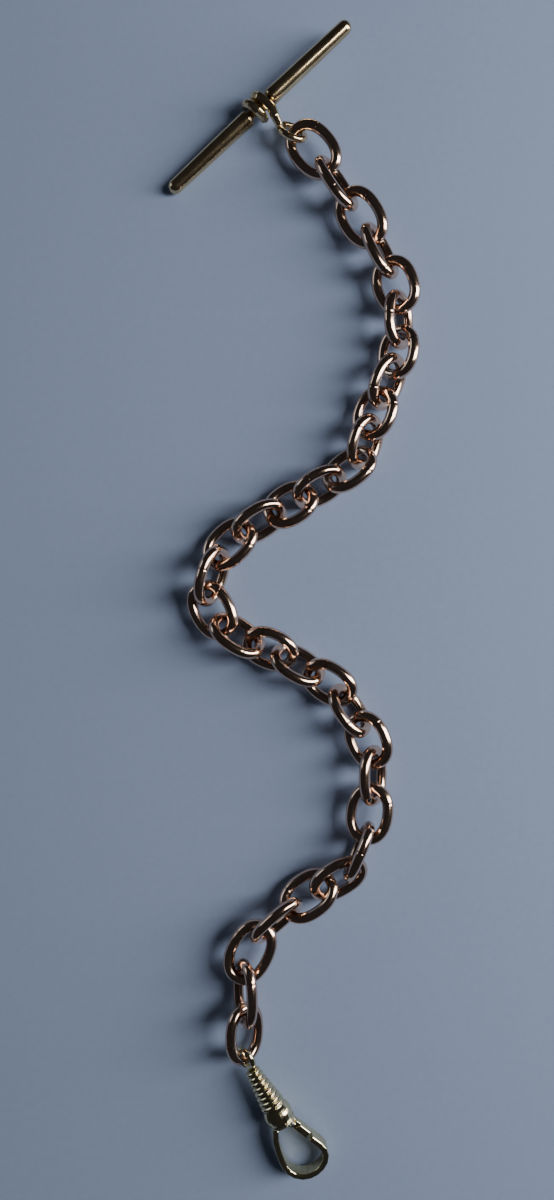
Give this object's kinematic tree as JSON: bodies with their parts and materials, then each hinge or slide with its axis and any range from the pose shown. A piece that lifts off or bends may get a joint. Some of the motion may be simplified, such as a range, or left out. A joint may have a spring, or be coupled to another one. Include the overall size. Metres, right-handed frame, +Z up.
{
  "type": "pocket watch chain",
  "caption": "Pocket watch chain: a T-bar with a wire bale at one end, a run of interlinked oval cable links, and a swivel clip with a sprung gate at the other.",
  "frame": {"origin": "on the surface the chain lies on, under the centre of its outline", "axes": "+X across the lay to the right, +Y along the lay from the clip towards the T-bar, +Z up from the surface"},
  "size_m": [0.0403, 0.1849, 0.0077],
  "materials": {
    "rose_gold": "polished rose gold",
    "yellow_gold": "polished yellow gold",
    "pale_gold": "polished pale gold",
    "spring_steel": "satin spring steel"
  },
  "bodies": {
    "tbar": {"tbar_rod": "yellow_gold", "tbar_bale": "yellow_gold"},
    "link_01": {"link_01": "rose_gold"},
    "link_02": {"link_02": "rose_gold"},
    "link_03": {"link_03": "rose_gold"},
    "link_04": {"link_04": "rose_gold"},
    "link_05": {"link_05": "rose_gold"},
    "link_06": {"link_06": "rose_gold"},
    "link_07": {"link_07": "rose_gold"},
    "link_08": {"link_08": "rose_gold"},
    "link_09": {"link_09": "rose_gold"},
    "link_10": {"link_10": "rose_gold"},
    "link_11": {"link_11": "rose_gold"},
    "link_12": {"link_12": "rose_gold"},
    "link_13": {"link_13": "rose_gold"},
    "link_14": {"link_14": "rose_gold"},
    "link_15": {"link_15": "rose_gold"},
    "link_16": {"link_16": "rose_gold"},
    "link_17": {"link_17": "rose_gold"},
    "link_18": {"link_18": "rose_gold"},
    "link_19": {"link_19": "rose_gold"},
    "link_20": {"link_20": "rose_gold"},
    "link_21": {"link_21": "rose_gold"},
    "link_22": {"link_22": "rose_gold"},
    "link_23": {"link_23": "rose_gold"},
    "link_24": {"link_24": "rose_gold"},
    "link_25": {"link_25": "rose_gold"},
    "link_26": {"link_26": "rose_gold"},
    "link_27": {"link_27": "rose_gold"},
    "link_28": {"link_28": "rose_gold"},
    "link_29": {"link_29": "rose_gold"},
    "link_30": {"link_30": "rose_gold"},
    "link_31": {"link_31": "rose_gold"},
    "link_32": {"link_32": "rose_gold"},
    "clip_swivel": {"clip_swivel_eye": "pale_gold"},
    "clip_body": {"clip_body": "pale_gold", "clip_hook": "pale_gold", "clip_gate_pin": "spring_steel", "clip_gate_spring": "spring_steel"},
    "clip_gate": {"clip_gate": "pale_gold"}
  },
  "joints": [
    {"name": "link_01_hinge", "type": "hinge", "parent": "tbar", "child": "link_01", "pos_m": [0.00166, 0.07441, 0.00273], "axis": [-0.3473, -0.6016, 0.7193], "range_deg": [-10, 30]},
    {"name": "link_02_hinge", "type": "hinge", "parent": "link_01", "child": "link_02", "pos_m": [0.00601, 0.06916, 0.00336], "axis": [-0.7271, -0.6289, -0.2753], "range_deg": [-70, 65]},
    {"name": "link_03_hinge", "type": "hinge", "parent": "link_02", "child": "link_03", "pos_m": [0.00929, 0.06334, 0.00343], "axis": [0.4193, 0.2723, -0.866], "range_deg": [-70, 70]},
    {"name": "link_04_hinge", "type": "hinge", "parent": "link_03", "child": "link_04", "pos_m": [0.01313, 0.0579, 0.00333], "axis": [0.7686, 0.4803, 0.4226], "range_deg": [-70, 70]},
    {"name": "link_05_hinge", "type": "hinge", "parent": "link_04", "child": "link_05", "pos_m": [0.01564, 0.05256, 0.00333], "axis": [-0.4763, -0.2323, 0.848], "range_deg": [-70, 70]},
    {"name": "link_06_hinge", "type": "hinge", "parent": "link_05", "child": "link_06", "pos_m": [0.01755, 0.04703, 0.00333], "axis": [-0.8937, -0.2904, -0.342], "range_deg": [-70, 35]},
    {"name": "link_07_hinge", "type": "hinge", "parent": "link_06", "child": "link_07", "pos_m": [0.0169, 0.04134, 0.00323], "axis": [0.6017, 0.0105, -0.7986], "range_deg": [-70, 70]},
    {"name": "link_08_hinge", "type": "hinge", "parent": "link_07", "child": "link_08", "pos_m": [0.0163, 0.03647, 0.00336], "axis": [0.7631, -0.0711, 0.6424], "range_deg": [-70, 70]},
    {"name": "link_09_hinge", "type": "hinge", "parent": "link_08", "child": "link_09", "pos_m": [0.01342, 0.0319, 0.0032], "axis": [-0.5769, 0.2838, 0.7659], "range_deg": [-70, 70]},
    {"name": "link_10_hinge", "type": "hinge", "parent": "link_09", "child": "link_10", "pos_m": [0.01183, 0.02685, 0.0032], "axis": [-0.8217, 0.2737, -0.4999], "range_deg": [-70, 70]},
    {"name": "link_11_hinge", "type": "hinge", "parent": "link_10", "child": "link_11", "pos_m": [0.01039, 0.02223, 0.003], "axis": [0.6444, -0.1821, -0.7427], "range_deg": [-70, 70]},
    {"name": "link_12_hinge", "type": "hinge", "parent": "link_11", "child": "link_12", "pos_m": [0.00581, 0.019, 0.0032], "axis": [0.4502, -0.6339, 0.6289], "range_deg": [-70, 70]},
    {"name": "link_13_hinge", "type": "hinge", "parent": "link_12", "child": "link_13", "pos_m": [0.00086, 0.01677, 0.00313], "axis": [-0.3018, 0.5675, 0.766], "range_deg": [-70, 70]},
    {"name": "link_14_hinge", "type": "hinge", "parent": "link_13", "child": "link_14", "pos_m": [-0.0037, 0.01374, 0.00303], "axis": [-0.4803, 0.7686, -0.4226], "range_deg": [-70, 70]},
    {"name": "link_15_hinge", "type": "hinge", "parent": "link_14", "child": "link_15", "pos_m": [-0.00887, 0.01083, 0.00313], "axis": [0.3406, -0.5451, -0.766], "range_deg": [-70, 70]},
    {"name": "link_16_hinge", "type": "hinge", "parent": "link_15", "child": "link_16", "pos_m": [-0.01313, 0.0066, 0.00293], "axis": [0.6296, -0.6519, 0.4226], "range_deg": [-70, 50]},
    {"name": "link_17_hinge", "type": "hinge", "parent": "link_16", "child": "link_17", "pos_m": [-0.0142, 0.00033, 0.00343], "axis": [-0.4782, 0.1462, 0.866], "range_deg": [-70, 30]},
    {"name": "link_18_hinge", "type": "hinge", "parent": "link_17", "child": "link_18", "pos_m": [-0.01098, -0.00486, 0.00283], "axis": [-0.8487, -0.4513, -0.2756], "range_deg": [-15, 70]},
    {"name": "link_19_hinge", "type": "hinge", "parent": "link_18", "child": "link_19", "pos_m": [-0.00555, -0.00744, 0.00331], "axis": [0.3705, 0.5254, -0.7659], "range_deg": [-60, 70]},
    {"name": "link_20_hinge", "type": "hinge", "parent": "link_19", "child": "link_20", "pos_m": [-0.00022, -0.00877, 0.0031], "axis": [0.3163, 0.8062, 0.4999], "range_deg": [-70, 70]},
    {"name": "link_21_hinge", "type": "hinge", "parent": "link_20", "child": "link_21", "pos_m": [0.00413, -0.0118, 0.00313], "axis": [-0.3214, -0.5567, 0.766], "range_deg": [-70, 70]},
    {"name": "link_22_hinge", "type": "hinge", "parent": "link_21", "child": "link_22", "pos_m": [0.00902, -0.01487, 0.00344], "axis": [-0.4497, -0.7406, -0.4993], "range_deg": [-35, 60]},
    {"name": "link_23_hinge", "type": "hinge", "parent": "link_22", "child": "link_23", "pos_m": [0.01128, -0.02035, 0.00333], "axis": [0.4461, 0.3124, -0.8387], "range_deg": [-70, 70]},
    {"name": "link_24_hinge", "type": "hinge", "parent": "link_23", "child": "link_24", "pos_m": [0.01344, -0.02557, 0.00343], "axis": [0.8403, 0.3395, 0.4226], "range_deg": [-70, 70]},
    {"name": "link_25_hinge", "type": "hinge", "parent": "link_24", "child": "link_25", "pos_m": [0.01274, -0.03156, 0.00333], "axis": [-0.5446, 0, 0.8387], "range_deg": [-50, 70]},
    {"name": "link_26_hinge", "type": "hinge", "parent": "link_25", "child": "link_26", "pos_m": [0.01149, -0.03761, 0.00361], "axis": [-0.9547, 0.1466, -0.2588], "range_deg": [-70, 70]},
    {"name": "link_27_hinge", "type": "hinge", "parent": "link_26", "child": "link_27", "pos_m": [0.00879, -0.04332, 0.00393], "axis": [0.0321, -0.0136, -0.9994], "range_deg": [-10, 70]},
    {"name": "link_28_hinge", "type": "hinge", "parent": "link_27", "child": "link_28", "pos_m": [0.00366, -0.04619, 0.00313], "axis": [0.4368, -0.7269, -0.5299], "range_deg": [-30, 15]},
    {"name": "link_29_hinge", "type": "hinge", "parent": "link_28", "child": "link_29", "pos_m": [-0.00102, -0.04916, 0.00313], "axis": [-0.5064, 0.7233, -0.4695], "range_deg": [-70, 70]},
    {"name": "link_30_hinge", "type": "hinge", "parent": "link_29", "child": "link_30", "pos_m": [-0.00587, -0.05353, 0.00346], "axis": [-0.3256, 0.3386, 0.8828], "range_deg": [-35, 25]},
    {"name": "link_31_hinge", "type": "hinge", "parent": "link_30", "child": "link_31", "pos_m": [-0.00894, -0.05971, 0.00351], "axis": [0.8894, -0.4518, 0.0697], "range_deg": [-15, 70]},
    {"name": "link_32_hinge", "type": "hinge", "parent": "link_31", "child": "link_32", "pos_m": [-0.00758, -0.06676, 0.00365], "axis": [0.407, -0.0088, 0.9134], "range_deg": [-70, 20]},
    {"name": "clip_swivel_hinge", "type": "hinge", "parent": "link_32", "child": "clip_swivel", "pos_m": [-0.00776, -0.07276, 0.00319], "axis": [-0.7193, -0.0242, 0.6942], "range_deg": [-70, 70]},
    {"name": "clip_body_spin", "type": "hinge", "parent": "clip_swivel", "child": "clip_body", "pos_m": [-0.00246, -0.08184, 0.00241], "axis": [0.4988, -0.8639, -0.0698], "continuous": true},
    {"name": "clip_gate_hinge", "type": "hinge", "parent": "clip_body", "child": "clip_gate", "pos_m": [-0.00022, -0.08302, 0.00226], "axis": [0.0349, -0.0604, 0.9976], "range_deg": [-40, 0], "stiffness_Nm_per_rad": 0.0006, "springref_deg": 28.65, "deforming": ["clip_gate_spring"]}
  ]
}
